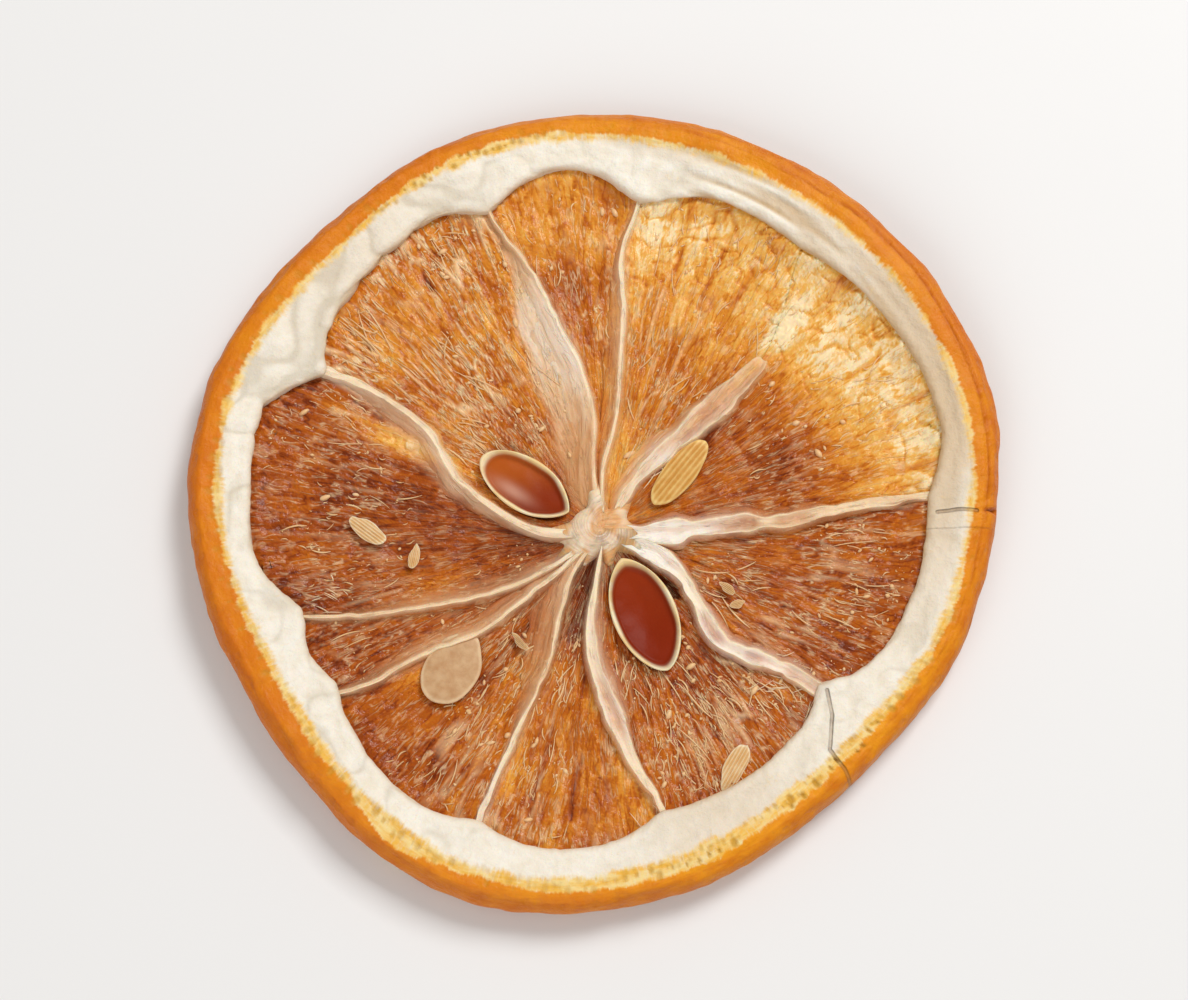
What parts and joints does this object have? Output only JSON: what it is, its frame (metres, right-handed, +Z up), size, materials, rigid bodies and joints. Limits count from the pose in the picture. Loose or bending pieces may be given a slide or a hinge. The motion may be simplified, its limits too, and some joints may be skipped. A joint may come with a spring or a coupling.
{
  "type": "dried lemon slice",
  "caption": "Thin round dried lemon slice with peel, pith, sunken pulp between membranes, and cut seeds, lying flat with its cut face up.",
  "frame": {"origin": "centre of the slice's box, on the surface it lies on", "axes": "+Z up out of the cut face, +Y towards the peel farthest from the viewer, +X to the viewer's right"},
  "size_m": [0.0524, 0.053, 0.0044],
  "materials": {
    "dried_fruit": "dried citrus pulp: glossy amber juice sacs with paler fibres between them",
    "rind": "chalky cream pith inside a waxy orange peel",
    "membrane": "dry cream to tan film",
    "seed_coat": "dry cream seed coat, glossy red brown inside where cut"
  },
  "bodies": {
    "root": {"slice": "dried_fruit", "seed_left": "seed_coat", "seed_right": "seed_coat", "seed_flat": "seed_coat", "seed_side": "seed_coat"}
  },
  "joints": []
}
